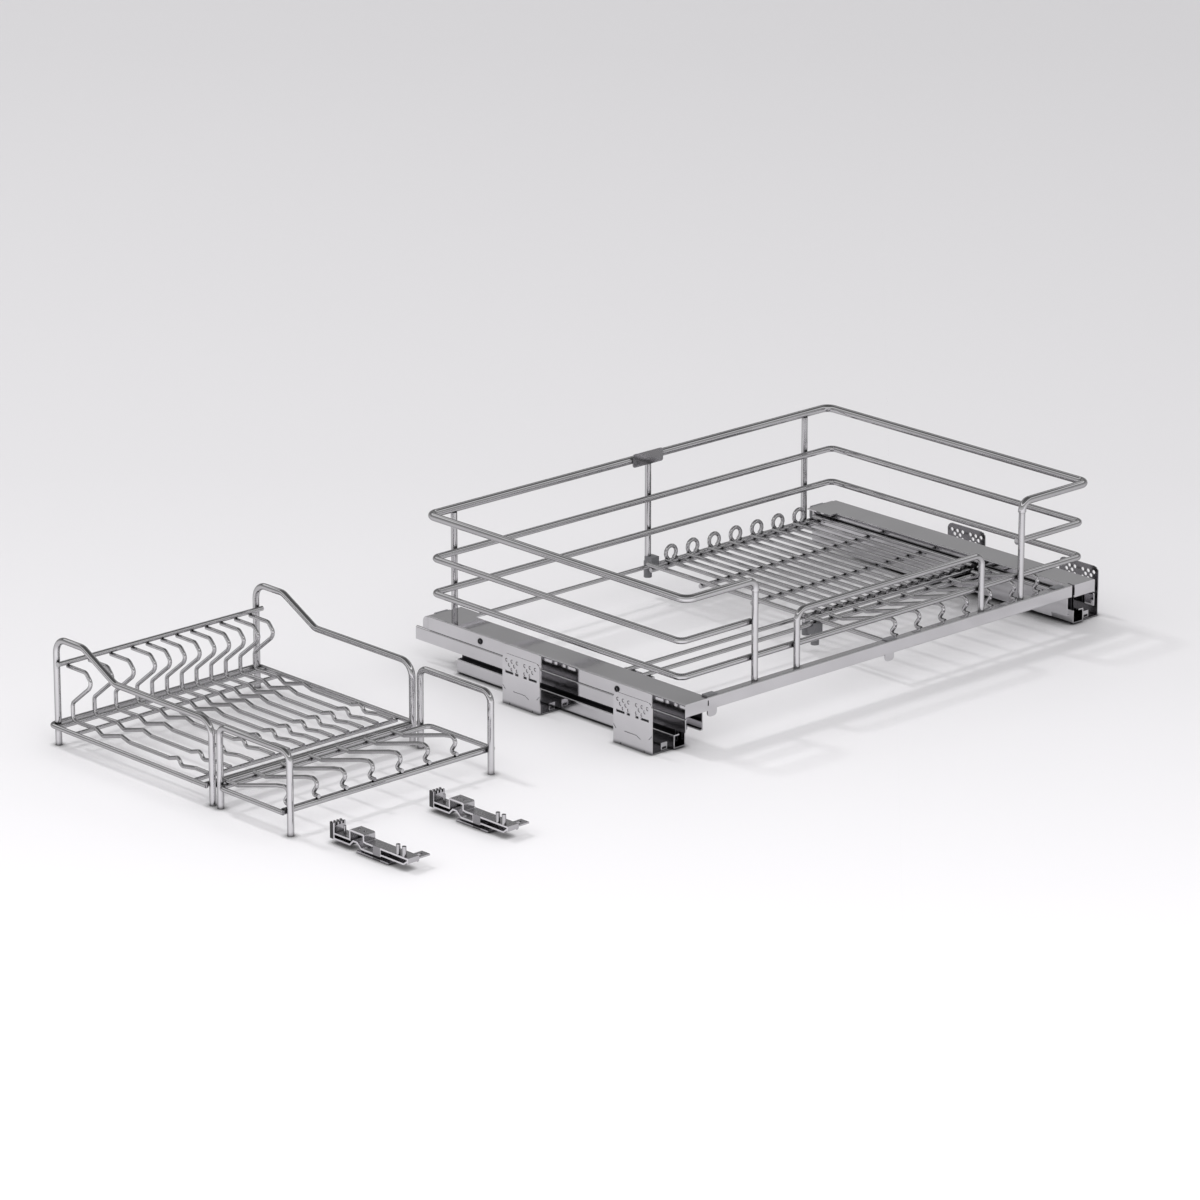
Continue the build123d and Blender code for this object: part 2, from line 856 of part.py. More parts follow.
def plate_insert_cross_wires():
    back = plate_insert_front + plate_insert_depth
    low = plate_frame_height - frame_wire / 2
    left = left_insert_x - hoop_wire / 2
    right = left_insert_x + insert_spacing + hoop_wire / 2
    return [rod((left, back - run, low), (right, back - run, low), plate_wire) for run in plate_cross_runs]


def bowl_profile(front_y, back_y, base):
    """A wire that rises from the back rail, dips steeply and ends on the front rail."""
    seat = base + frame_wire / 2 + plate_wire / 2
    return [(back_y, seat), *[(front_y + run, seat + rise) for run, rise in bowl_bends]]


def bowl_insert_frame():
    """Side hoops, a frame wire round the back and sides, and the front rail between the hoops."""
    front = bowl_insert_front
    back = front + bowl_insert_depth
    reach = hoop_wire / 2 + frame_wire / 2
    right_hoop = left_insert_x + insert_spacing
    pieces = []
    for x in (left_insert_x, right_hoop):
        points = [(x, back, 0), (x, back, bowl_hoop_height), (x, front, bowl_hoop_height), (x, front, 0)]
        pieces.append(bent_wire(points, hoop_wire, insert_bend))
    start = front + hoop_wire / 2
    loop = [
        (left_insert_x - reach, start, bowl_frame_height),
        (left_insert_x - reach, back - reach, bowl_frame_height),
        (right_hoop + reach, back - reach, bowl_frame_height),
        (right_hoop + reach, start, bowl_frame_height),
    ]
    pieces.append(bent_wire(loop, frame_wire, frame_bend))
    pieces.append(front_rail(left_insert_x - reach, right_hoop + reach, front, bowl_frame_height))
    return pieces


def front_rail(left, right, front, base):
    """The thick rail between two side wires that carries the front ends of the bowl wires."""
    height = base + frame_wire / 2 - hoop_wire / 2 + 1
    start = (left + frame_wire / 2 - weld, front + hoop_wire, height)
    return rod(start, (right - frame_wire / 2 + weld, front + hoop_wire, height), hoop_wire)


def right_front_insert_frame():
    """Two side wires that lie on the front floor wire, with the front and back rails between them."""
    left = right_insert_left
    right = left + right_insert_width
    pieces = []
    for x in (left, right):
        side = [(x, y, right_seat) for y in (front_insert_y, front_insert_y + front_side_depth)]
        pieces.append(rod(*side, frame_wire))
    ends = (left + frame_wire / 2 - weld, right - frame_wire / 2 + weld)
    pieces.append(rod(*[(x, right_front_back, right_seat) for x in ends], frame_wire))
    pieces.append(front_rail(left, right, front_insert_y, right_seat))
    return pieces


def bowl_insert_wires(x, front, back_rail, base, first, run):
    wires = []
    for index in range(bowl_wires):
        place = x + first + index * run / (bowl_wires - 1)
        profile = bowl_profile(front, back_rail + plate_wire / 2, base)
        wires.append(drawn_wire([(place, y, z) for y, z in profile], plate_wire))
    return wires


def flat_insert_frame():
    """Two side wires on the floor wires, with cross rails hung below them."""
    left = right_insert_left
    right = left + right_insert_width
    height = right_seat
    low = height - frame_wire + weld
    pieces = []
    for x in (left, right):
        pieces.append(rod((x, flat_insert_front, height), (x, flat_insert_back + 3, height), frame_wire))
    for y in flat_rails:
        pieces.append(rod((left - 2, y, low), (right + 2, y, low), frame_wire))
    return pieces


def flat_insert_wires():
    """Seven wires, each bent to a loop at the back between its two long runs."""
    height = right_seat - frame_wire / 2 + plate_wire / 2
    back = flat_insert_back
    wires = []
    for index in range(flat_pairs):
        first = right_insert_left + first_flat_wire + 2 * index * flat_pitch
        centre = first + flat_pitch / 2
        loop = []
        for step in range(loop_turns + 1):
            angle = math.radians(90 + (loop_turns / 2 - step) * loop_turn)
            rise = height + loop_rise + loop_radius * math.sin(angle)
            loop.append((centre + loop_radius * math.cos(angle), back, rise))
        feet = [(x, back, height) for x in (loop[0][0], loop[-1][0])]
        wire = drawn_wire([feet[0], *loop, feet[1]], plate_wire, (0, 1, 0))
        for end, foot in zip((first, first + flat_pitch), feet):
            run = [(end, y, height) for y in (flat_insert_front, back + plate_wire / 2)]
            wire += drawn_wire(run, plate_wire)
            wire += drawn_wire([(end, back, height), foot], plate_wire, (0, 1, 0))
        wires.append(wire)
    return wires


# Front locking devices, stamped levers of folded strip that clip under the front of a runner
def lock_strip(points, x, thickness):
    """Strip folded along points in Y and Z, standing on the line, as wide as the device."""
    line = Polyline(*points)
    section = make_face(line.offset_2d(thickness, side=Side.RIGHT, closed=True))
    return extrude(Plane.YZ.offset(x) * section, lock_width)


def locking_device(x, back):
    front = back - lock_length
    box_back = back - lock_box[0]
    box_front = back - lock_box[1]
    step = back - 0.66 * lock_length
    lower = [
        (back, lock_end),
        (back, lock_bottom),
        (box_back + 1, lock_bottom),
        (box_back - 5, lock_arch),
        (box_back - 11, lock_arch),
        (box_back - 18, lock_bottom),
        (step + 2, lock_bottom),
        (step, lock_rise - lock_sheet),
        (front + 7, lock_rise - lock_sheet),
        (front, lock_top - lock_sheet),
    ]
    upper = [
        (back - 3 * lock_sheet, lock_end),
        (back - 3 * lock_sheet, lock_bottom + 3 * lock_sheet),
        (box_back, lock_bottom + 3 * lock_sheet),
        (box_back, lock_end - lock_sheet),
        (box_front, lock_end - lock_sheet),
        (box_front, lock_top + 1),
        (box_front - 5, lock_top),
        (front, lock_top),
    ]
    body = lock_strip(lower, x, lock_sheet)
    body += lock_strip(upper, x, lock_sheet)
    right = x + lock_width
    between = (back - 4 * lock_sheet, back - lock_sheet)
    body += box((x, right), between, (lock_bottom + lock_sheet, lock_end - 1))
    body += box((x, right), (step + 1, step + 14), (lock_bottom + 1, lock_top))
    body += box((x, right), (front, front + lock_sheet), (lock_top - 2 * lock_sheet, lock_top))
    body += box((right - lock_sheet, right), (front + 1, box_front), (lock_rise, lock_top))
    body += box((right - lock_sheet, right), (box_front, back), (lock_bottom + lock_sheet, lock_top - 1))
    foot = (back - lock_foot[1], back - lock_foot[0])
    body += box((x, right), foot, (0, lock_foot_height))
    body += box((right - 2 * lock_sheet, right), (foot[0] + 12, foot[1]), (0, lock_bottom + lock_sheet))
    tab_y = (front, front + lock_tab_depth)
    body += box((right - 1, right + lock_tab_reach), tab_y, (lock_top - lock_sheet, lock_top))
    slot_y = (front + lock_tab_depth / 2 - 2, front + lock_tab_depth / 2 + 2)
    body -= box((right + 3, right + lock_tab_reach - 5), slot_y, (0, lock_end))
    tooth = lock_width / 7
    for index in (1, 3, 5):
        gap = (x + index * tooth, x + (index + 1) * tooth)
        body -= box(gap, (back - 5 * lock_sheet, back + 1), (lock_end - 3, lock_end + 1))
    middle = (box_back + box_front) / 2
    for side in (-1, 1):
        place = (x + lock_width / 2, middle + side * 5)
        body -= rod((*place, lock_end - 2 * lock_sheet), (*place, lock_end + 1), 4)
    return body


def lock_pins(x, back):
    pins = []
    for at in lock_pins_at:
        place = (x + lock_pin / 2, back - at)
        pins.append(rod((*place, lock_top + lock_sheet), (*place, lock_pin_height), lock_pin))
    small = (x + lock_width / 2, back - small_pin_at)
    base = lock_bottom + 4 * lock_sheet
    pins.append(rod((*small, base), (*small, lock_end - 2), small_pin))
    return pins


both_sides("side_cover", side_cover())
both_sides("drawer_member", drawer_member())
both_sides("inner_web", inner_web())
both_sides("rear_end_piece", rear_end_piece())
both_sides("cabinet_rail", cabinet_rail())
for bracket_name, bracket_front in bracket_fronts():
    both_sides(f"{bracket_name}_bracket", cabinet_bracket(bracket_front))
both_sides("soft_close_unit", soft_close_unit())
both_sides("middle_member", middle_member())
lower_place = (lower_cage_front, rail_floor + roller_gap / 2)
upper_place = (upper_cage_front, middle_top + roller_gap / 2)
both_sides("lower_roller_cage", roller_cage(*lower_place, lower_walls(), 1))
both_sides("upper_roller_cage", roller_cage(*upper_place, upper_walls(), -1))
both_sides("lower_rollers", Compound(rollers(*lower_place)))
both_sides("upper_rollers", Compound(rollers(*upper_place)))
both_sides("bracket_rivets", Compound(bracket_rivets()))

export("front_bar", front_bar())
export("bar_clips", *bar_clips())
export("top_rim", top_rim())
export("middle_rim", rim(middle_rim_height, True))
export("lower_rim", rim(lower_rim_height, False))
export("front_hoop", front_hoop())
for side_name, side in (("left", -1), ("right", 1)):
    front_x = front_centre + side * front_post_spacing / 2
    front_post = rod((front_x, post_line, bar_top), (front_x, post_line, joint_height), rim_wire)
    export(f"{side_name}_front_post", front_post)
    export(f"{side_name}_rear_post", rear_post(side * rear_post_spacing / 2, rear_post_bottom))
export("middle_rear_post", rear_post(middle_rear_post, middle_post_bottom))
for wire_name, row in zip(("front", "middle", "rear"), (*floor_wire_rows, rear_floor_line)):
    export(f"{wire_name}_floor_wire", floor_wire_at(row))

export("badge_plate", badge_plate())
export("cover_screws", *cover_screws())
for clip_name, shape in clips():
    export(clip_name, shape)

export("plate_insert_frame", *plate_insert_frame())
export("plate_insert_wires", *plate_insert_wires())
export("plate_insert_cross_wires", *plate_insert_cross_wires())
bowl_back = bowl_insert_front + bowl_insert_depth - hoop_wire / 2 - frame_wire / 2
left_wires = (left_insert_x, bowl_insert_front, bowl_back, bowl_frame_height, first_bowl_wire, bowl_run)
right_wires = (right_insert_left, front_insert_y, right_front_back, right_seat, front_insert_first_wire, front_insert_run)
export("bowl_insert_frame", *bowl_insert_frame())
export("bowl_insert_wires", *bowl_insert_wires(*left_wires))
export("right_front_insert_frame", *right_front_insert_frame())
export("right_front_insert_wires", *bowl_insert_wires(*right_wires))
export("right_rear_insert_frame", *flat_insert_frame())
export("right_rear_insert_wires", *flat_insert_wires())
for lock_name, place in zip(("first", "second"), lock_places):
    export(f"{lock_name}_locking_device", locking_device(*place))
    export(f"{lock_name}_locking_pins", *lock_pins(*place))
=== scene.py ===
# %% [markdown]
# # A pull-out dish rack in chromed wire
#
# This lesson dresses the CAD model of a pull-out dish rack for a kitchen cabinet. The model comes
# in as a frame of named parts on moving bodies. Sheet parts keep their CAD shape and get a metal
# finish. The wire parts are drawn again as smooth tubes, because a tube with few flats breaks up
# the long highlights that make chrome look like chrome.

import json
import math

import bmesh
import bpy
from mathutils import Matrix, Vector


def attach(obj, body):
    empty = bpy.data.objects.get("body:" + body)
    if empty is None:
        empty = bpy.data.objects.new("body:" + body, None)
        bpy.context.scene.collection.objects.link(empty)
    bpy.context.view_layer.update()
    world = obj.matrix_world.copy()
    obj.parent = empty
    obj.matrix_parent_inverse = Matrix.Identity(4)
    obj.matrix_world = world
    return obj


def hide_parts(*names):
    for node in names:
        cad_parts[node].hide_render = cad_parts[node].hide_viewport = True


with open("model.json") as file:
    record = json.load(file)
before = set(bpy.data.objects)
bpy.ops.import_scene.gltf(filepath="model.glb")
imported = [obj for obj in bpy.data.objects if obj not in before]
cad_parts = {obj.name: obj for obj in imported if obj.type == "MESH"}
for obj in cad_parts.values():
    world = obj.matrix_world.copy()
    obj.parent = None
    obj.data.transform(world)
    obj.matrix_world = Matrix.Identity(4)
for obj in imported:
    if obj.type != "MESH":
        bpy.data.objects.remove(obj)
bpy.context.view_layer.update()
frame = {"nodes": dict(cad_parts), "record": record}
scene = bpy.context.scene

# %% [markdown]
# ## Camera
#
# The rack is shown as a product picture shows it: from the front left and a little above, with a
# long lens from far away, so that parallel wires stay nearly parallel. A camera and a lamp both
# look along their own -Z axis, so one helper turns either of them to the point that it looks at.


# %% Camera
def look(thing, place, target):
    """Puts a camera or lamp in its place and turns it to the target."""
    thing.location = place
    thing.rotation_euler = (Vector(target) - Vector(place)).to_track_quat("-Z", "Y").to_euler()
    scene.collection.objects.link(thing)


eye = Vector((-4.9716, -4.8255, 2.3745))
aim = Vector((-0.0295, 0.4901, 0.0))
camera_data = bpy.data.cameras.new("camera")
camera_data.sensor_width = 36.0
camera_data.lens = 182.58
camera_data.clip_end = 60.0
camera = bpy.data.objects.new("camera", camera_data)
look(camera, eye, aim)
scene.camera = camera
scene.view_settings.view_transform = "Standard"
print("camera is", round((aim - eye).length, 2), "m from its aim")

# %% [markdown]
# ## Helpers for node trees
#
# Every finish here is a tree of nodes: a pattern goes through a few sums into a shader. The same
# steps come back in each tree, so they are written once: feed an input, do a sum, move a value to
# another range, take a place apart into its axes, and colour a value by a ramp.


# %% Nodes and their inputs
def new_tree(owner):
    """The node tree of a material or world, emptied."""
    owner.use_nodes = True
    owner.node_tree.nodes.clear()
    return owner.node_tree


def feed(tree, entry, value):
    """Gives an input a plain value, or links another node's output to it."""
    if isinstance(value, bpy.types.NodeSocket):
        tree.links.new(value, entry)
    else:
        entry.default_value = value


def node(tree, kind, **values):
    """A node with its properties or inputs set by name. An underscore stands for a space."""
    made = tree.nodes.new(kind)
    for name, value in values.items():
        if hasattr(made, name):
            setattr(made, name, value)
        else:
            feed(tree, made.inputs[name.replace("_", " ")], value)
    return made


# %% Sums, ranges and axes
def sums(tree, operation, *values):
    """A sum on numbers or outputs."""
    made = node(tree, "ShaderNodeMath", operation=operation)
    for entry, value in zip(made.inputs, values):
        feed(tree, entry, value)
    return made.outputs[0]


def mapped(tree, value, old=(0.0, 1.0), new=(0.0, 1.0)):
    """Moves a value from one range to another."""
    made = node(tree, "ShaderNodeMapRange", Value=value)
    for name, end in zip(("From Min", "From Max", "To Min", "To Max"), (*old, *new)):
        feed(tree, made.inputs[name], end)
    return made.outputs["Result"]


def place_in(tree, space="Object"):
    """Where the shaded point is."""
    return node(tree, "ShaderNodeTexCoord").outputs[space]


def axes(tree, vector):
    """The X, Y and Z of a vector, as three outputs."""
    return node(tree, "ShaderNodeSeparateXYZ", Vector=vector).outputs


# %% Ramps and endings
def ramp(tree, factor, stops, blend="EASE"):
    """A colour ramp through the given places and greys or colours."""
    made = node(tree, "ShaderNodeValToRGB", Fac=factor)
    made.color_ramp.interpolation = blend
    while len(made.color_ramp.elements) < len(stops):
        made.color_ramp.elements.new(0.5)
    for element, (place, value) in zip(made.color_ramp.elements, stops):
        element.position = place
        element.color = value if isinstance(value, tuple) else (value, value, value, 1.0)
    return made.outputs["Color"]


def close_tree(tree, shader, kind="ShaderNodeOutputMaterial"):
    """Sends the finished shader to the output."""
    node(tree, kind, Surface=shader.outputs[0])


# %% [markdown]
# ## Studio
#
# Chrome has no colour of its own: it shows the room, so the room matters more than the lamps. This
# room is a ramp over the height: white at floor level, darker above the horizon, one bright band
# high up like a strip light, and dark at the ceiling. It gives each wire a light lower half, a dark
# upper half and a thin highlight. An image of a real room would do the same, but a ramp has seven
# greys to adjust and no seams. Mirrors see the room dimmer than it lights the floor, so that the
# metal stands out from the pale ground.

# %% Room
room_greys = [
    (0.0, 0.9), (0.5, 0.85), (0.6, 0.62), (0.74, 0.28), (0.8, 1.5), (0.86, 0.24), (1.0, 0.14),
]
room_light, mirrored_light = 1.8, 0.66
world = bpy.data.worlds.new("studio")
scene.world = world
tree = new_tree(world)
height = mapped(tree, axes(tree, place_in(tree, "Generated"))["Z"], old=(-1.0, 1.0))
in_mirrors = node(tree, "ShaderNodeLightPath").outputs["Is Glossy Ray"]
light = mapped(tree, in_mirrors, new=(room_light, mirrored_light))
room = node(tree, "ShaderNodeBackground", Color=ramp(tree, height, room_greys), Strength=light)
close_tree(tree, room, "ShaderNodeOutputWorld")
print("room greys, bottom to top:", [grey for _, grey in room_greys])

# %% [markdown]
# ## Lamps
#
# Three soft panels hang round the rack: a strong one high behind it, a narrow and weak one at its
# left and a wide one in front. They throw the soft shadows on the floor. Mirrors don't show them,
# because a lamp in a chromed wire is a hard white spot, and the room draws the highlights already.

# %% Lamps
rack_middle = (-0.2, 0.25, 0.05)


def panel(name, place, size, power):
    """A soft rectangular lamp that looks at the rack."""
    data = bpy.data.lights.new(name, "AREA")
    data.shape = "RECTANGLE"
    data.size, data.size_y = size
    data.energy = power
    lamp = bpy.data.objects.new(name, data)
    lamp.visible_glossy = False
    look(lamp, place, rack_middle)
    print(name, power, "W")


panel("key_panel", (-1.0, 4.9, 7.2), (1.0, 1.0), 250.0)
panel("side_panel", (-3.4, 1.4, 1.6), (0.5, 2.2), 11.0)
panel("front_panel", (-1.6, -1.6, 3.2), (1.8, 1.8), 25.0)

# %% [markdown]
# ## Floor
#
# The floor is one large pale plane that runs up to the horizon: near white in front of the rack and
# light grey far behind it. The greys are painted shade on the plane, for the light that falls off
# behind the rack. They lie along the line from the camera to the rack, and stay where they are when
# the camera moves. An ambient occlusion node tells how open the space over a point is. It is used
# twice to paint shadow into the floor: with a reach of 9 mm it darkens the line where a foot
# touches the ground, and with a reach of 110 mm the ground beneath the rack.

# %% Floor plane
floor_reach = 40.0
square = [(-1, -1), (1, -1), (1, 1), (-1, 1)]
floor_mesh = bpy.data.meshes.new("floor")
floor_corners = [(x * floor_reach, y * floor_reach, 0) for x, y in square]
floor_mesh.from_pydata(floor_corners, [], [(0, 1, 2, 3)])
floor = bpy.data.objects.new("floor", floor_mesh)
scene.collection.objects.link(floor)
print("floor is", 2 * floor_reach, "m wide")


# %% Floor tones
occlusion_rays = 6


def shaded_seams(tree, colour, distance, strength):
    """Painted shade: makes a colour darker where another surface is nearer than distance."""
    cover = node(tree, "ShaderNodeAmbientOcclusion", samples=occlusion_rays, Distance=distance)
    deeper = sums(tree, "POWER", cover.outputs["AO"], strength)
    darkened = node(tree, "ShaderNodeVectorMath", operation="SCALE", Scale=deeper)
    feed(tree, darkened.inputs[0], colour)
    return darkened.outputs[0]


near_end, far_end = -1.6, 3.4
# Painted shade: the floor's greys fall from white near the camera to light grey far behind the
# rack.
floor_greys = [(0.0, 1.0), (0.14, 0.95), (0.33, 0.79), (0.5, 0.722), (0.67, 0.695), (1.0, 0.655)]
green_share, blue_share = 0.985, 1.01
touch_shadow, wide_shadow = (0.009, 2.2), (0.11, 0.2)

floor_paint = bpy.data.materials.new("floor_paint")
tree = new_tree(floor_paint)
view_turn = math.atan2(aim.y - eye.y, aim.x - eye.x)
turned = node(tree, "ShaderNodeMapping", Vector=place_in(tree), Rotation=(0.0, 0.0, -view_turn))
depth = mapped(tree, axes(tree, turned.outputs[0])["X"], old=(near_end, far_end))
tones = [
    (stop, (grey, green_share * grey, blue_share * grey, 1.0)) for stop, grey in floor_greys
]
shade = ramp(tree, depth, tones, "LINEAR")
# Painted shadow: occlusion darkens the floor's colour at a foot and beneath the rack.
for distance, strength in (touch_shadow, wide_shadow):
    shade = shaded_seams(tree, shade, distance, strength)
print("floor turned by", round(math.degrees(view_turn), 1), "degrees to the line of view")

# %% [markdown]
# ## The floor's own light
#
# A lit floor alone would need so much light to turn white that it would wash out the metal. So a
# part of the floor's light is its own, and only the camera and the mirrors see it. The mirrors see
# it dimmer, which keeps the undersides of the wires from turning white. The shadows stay, because
# the rest of the floor is plain paint.

# %% Floor light
glow_share = 0.3
seen_glow, mirrored_glow = 0.97, 0.32
paint_roughness = 0.45
paint = node(tree, "ShaderNodeBsdfPrincipled", Base_Color=shade, Roughness=paint_roughness)
rays = node(tree, "ShaderNodeLightPath").outputs
glow_level = mapped(tree, rays["Is Camera Ray"], new=(mirrored_glow, seen_glow))
glow = node(tree, "ShaderNodeEmission", Color=shade, Strength=glow_level)
seen = sums(tree, "MAXIMUM", rays["Is Camera Ray"], rays["Is Glossy Ray"])
share = sums(tree, "MULTIPLY", seen, glow_share)
mix = node(tree, "ShaderNodeMixShader")
for entry, value in zip(mix.inputs, (share, paint.outputs[0], glow.outputs[0])):
    feed(tree, entry, value)
close_tree(tree, mix)
floor_mesh.materials.append(floor_paint)
print("share of glow:", glow_share)

# %% [markdown]
# ## Shades on the metal
#
# Three painted marks make a plain metal look like its part. Round wire gets painted shade towards
# its outline, where a real one mirrors the far side of the room. The inner faces of the cabinet
# brackets get painted shade, as if they mirrored the dark gap beside the runner. The locking
# devices
# are cut from sheet: their sheared left edges get a painted highlight, and their faces stay dull.
# Each mark is a grey that the metal's colour is multiplied with. The first follows the angle at
# which a surface is seen, as all gloss does, and the other two follow the place on the part.


# %% Wire shade
# Greys of the painted shade on the wire, from its middle out to its outline.
painted_outline_greys = [(0.08, 1.0), (0.38, 0.66), (0.8, 0.34)]


def painted_outline_shade(tree):
    """Painted shade: darker where the wire turns away from the eye."""
    turn = node(tree, "ShaderNodeLayerWeight", Blend=0.5)
    return ramp(tree, turn.outputs["Facing"], painted_outline_greys)


# %% Bracket shade
wall_band = (-0.382, -0.37)
# The grey of the painted shade on the brackets' inner faces.
gap_grey = 0.44


def shaded_inside(tree):
    """Painted shade where a face at a cabinet wall looks inward, as if it mirrored the dark gap.

    The normal's X times the place's X is minus the wall's distance there, on both sides.
    """
    facing = axes(tree, node(tree, "ShaderNodeNewGeometry").outputs["True Normal"])
    spot = axes(tree, place_in(tree))
    outward = sums(tree, "MULTIPLY", facing["X"], spot["X"])
    spread = mapped(tree, outward, old=wall_band)
    return ramp(tree, spread, [(0.0, gap_grey), (0.5, gap_grey), (1.0, 1.0)])


# %% Locking device shade
lock_edges = (-0.8445, -0.6954)
edge_play = 0.0002
lock_ends = (-0.08, 0.06)
# Greys along the device's left edges: painted highlight above one, painted shade at the far end.
painted_edge_greys = [(0.0, 1.4), (0.364, 0.6), (0.457, 1.4), (0.937, 0.15)]
face_grey = 0.95


def painted_edge_light(tree):
    """Painted highlight on the left edges, weaker on the raised block, and painted shade on them at
    the far end.
    """
    spot = axes(tree, place_in(tree))
    on_edge = [sums(tree, "COMPARE", spot["X"], edge, edge_play) for edge in lock_edges]
    along = mapped(tree, spot["Y"], old=lock_ends)
    greys = ramp(tree, along, painted_edge_greys, "CONSTANT")
    return mapped(tree, sums(tree, "MAXIMUM", *on_edge), new=(face_grey, greys))


# %% [markdown]
# ## Metal finishes
#
# All the metals share one recipe: a metallic surface whose roughness and bump vary a little with
# noise. Plated wire is nearly a mirror. Sheet has a fine grain along its length from rolling, made
# by noise that is drawn out along Y. A large soft noise makes the colour uneven, as plating is, and
# ambient occlusion paints shade into the colour at the seams where wires and sheets touch.
# Scratched or worn metal would be wrong on a new rack.


# %% Pattern helpers
def mottled(tree, pattern, colour, darkest):
    """A colour that goes down to its darkest share with a pattern."""
    low = tuple(channel * darkest for channel in colour)
    return ramp(tree, pattern, [(0.3, (*low, 1.0)), (0.7, (*colour, 1.0))])


def relief(tree, surface, pattern, strength, depth):
    """Raises and lowers a surface with a pattern, by a depth in metres."""
    bump = node(tree, "ShaderNodeBump", Height=pattern, Strength=strength, Distance=depth)
    feed(tree, surface.inputs["Normal"], bump.outputs[0])


# %% Metal recipe
cloud_scale, cloud_darkest = 14.0, 0.93
grain_strength, seam_shade_strength = 0.25, 1.25


def metal(name, colour, roughness, spread, grain, depth, stretch=(1, 1, 1), shade=None, seam_shade_reach=0.006):
    """A metal whose roughness varies by spread, with grain in lines per metre along each axis."""
    made = bpy.data.materials.new(name)
    tree = new_tree(made)
    surface = node(tree, "ShaderNodeBsdfPrincipled", Metallic=1.0, Base_Color=(*colour, 1.0))
    place = place_in(tree)
    lines = tuple(grain * share for share in stretch)
    scaled = node(tree, "ShaderNodeMapping", Vector=place, Scale=lines)
    noise = node(tree, "ShaderNodeTexNoise", Vector=scaled.outputs[0], Scale=1.0, Detail=4.0)
    rough = mapped(tree, noise.outputs["Fac"], new=(roughness - spread, roughness + spread))
    feed(tree, surface.inputs["Roughness"], rough)
    relief(tree, surface, noise.outputs["Fac"], grain_strength, depth)
    cloud = node(tree, "ShaderNodeTexNoise", Vector=place, Scale=cloud_scale, Detail=3.0)
    tint = mottled(tree, cloud.outputs["Fac"], colour, cloud_darkest)
    if shade:
        both = node(tree, "ShaderNodeVectorMath", operation="MULTIPLY")
        for entry, value in zip(both.inputs, (tint, shade(tree))):
            feed(tree, entry, value)
        tint = both.outputs[0]
    # Painted shade: ambient occlusion darkens the colour where another surface is near.
    feed(tree, surface.inputs["Base Color"], shaded_seams(tree, tint, seam_shade_reach, seam_shade_strength))
    close_tree(tree, surface)
    return made


# %% Metals
along_sheet, along_bracket = (1.0, 0.04, 1.0), (1.0, 0.06, 1.0)
metals = {
    "chrome_wire": dict(
        colour=(0.9, 0.89, 0.91), roughness=0.06, spread=0.03, grain=300.0, depth=0.00001,
        shade=painted_outline_shade,
    ),
    "bright_steel": dict(
        colour=(0.75, 0.74, 0.76), roughness=0.07, spread=0.03, grain=900.0, depth=0.000004,
        stretch=along_sheet,
    ),
    "zinc_steel": dict(
        colour=(0.765, 0.755, 0.775), roughness=0.12, spread=0.04, grain=700.0, depth=0.000006,
        stretch=along_bracket, shade=shaded_inside,
    ),
    "lock_body": dict(
        colour=(0.58, 0.57, 0.59), roughness=0.2, spread=0.06, grain=500.0, depth=0.00002,
        shade=painted_edge_light, seam_shade_reach=0.003,
    ),
    "pin_steel": dict(
        colour=(0.66, 0.65, 0.67), roughness=0.16, spread=0.05, grain=500.0, depth=0.00001,
        shade=painted_outline_shade,
    ),
    "dark_steel": dict(
        colour=(0.06, 0.06, 0.065), roughness=0.35, spread=0.08, grain=500.0, depth=0.00002,
    ),
}
finishes = {name: metal(name, **facts) for name, facts in metals.items()}
print("metals:", len(finishes))

# %% [markdown]
# ## Plastic finishes
#
# The soft-close units and the plugs behind the covers are moulded. A mould is spark-eroded, and its
# fine grain shows on the plastic as tiny dark specks and dents. One dense noise makes both.


# %% Plastics
spark_scale, spark_darkest = 900.0, 0.8
spark_strength, spark_depth = 0.3, 0.0001


def plastic(name, colour, roughness):
    """Moulded plastic with a fine spark-eroded texture."""
    made = bpy.data.materials.new(name)
    tree = new_tree(made)
    surface = node(tree, "ShaderNodeBsdfPrincipled", Roughness=roughness)
    noise = node(tree, "ShaderNodeTexNoise", Vector=place_in(tree), Scale=spark_scale, Detail=3.0)
    tint = mottled(tree, noise.outputs["Fac"], colour, spark_darkest)
    feed(tree, surface.inputs["Base Color"], tint)
    relief(tree, surface, noise.outputs["Fac"], spark_strength, spark_depth)
    close_tree(tree, surface)
    return made


finishes["dark_plastic"] = plastic("dark_plastic", (0.02, 0.02, 0.022), 0.4)
finishes["grey_plastic"] = plastic("grey_plastic", (0.16, 0.16, 0.17), 0.38)
print("finishes:", ", ".join(finishes))

# %% [markdown]
# ## Finish on the CAD parts
#
# The record names a material slot for every part, and each finish has the name of its slot. So a
# lookup gives every part its finish. Only the pins of the locking devices get one of their own:
# they are round and turned, and shine more than the sheet that they stand on.

# %% Finish on the CAD parts
slot_of = {part["node"]: part["material_slot"] for part in frame["record"]["subparts"]}
for name, part in frame["nodes"].items():
    finish = "pin_steel" if name.endswith("locking_pins") else slot_of[name]
    part.data.materials.clear()
    part.data.materials.append(finishes[finish])
print("parts with a finish:", len(frame["nodes"]))

# %% [markdown]
# ## Smooth wire
#
# A bent wire is a path with rounded corners and a round section. It could be drawn point by point,
# but Geometry Nodes makes it from a chain of corner points, and a size can be changed later: the
# chain turns into a curve, its corners are rounded to the bend radius, and a circle runs along it.

# %% Geometry tree helpers
bend_steps = 7


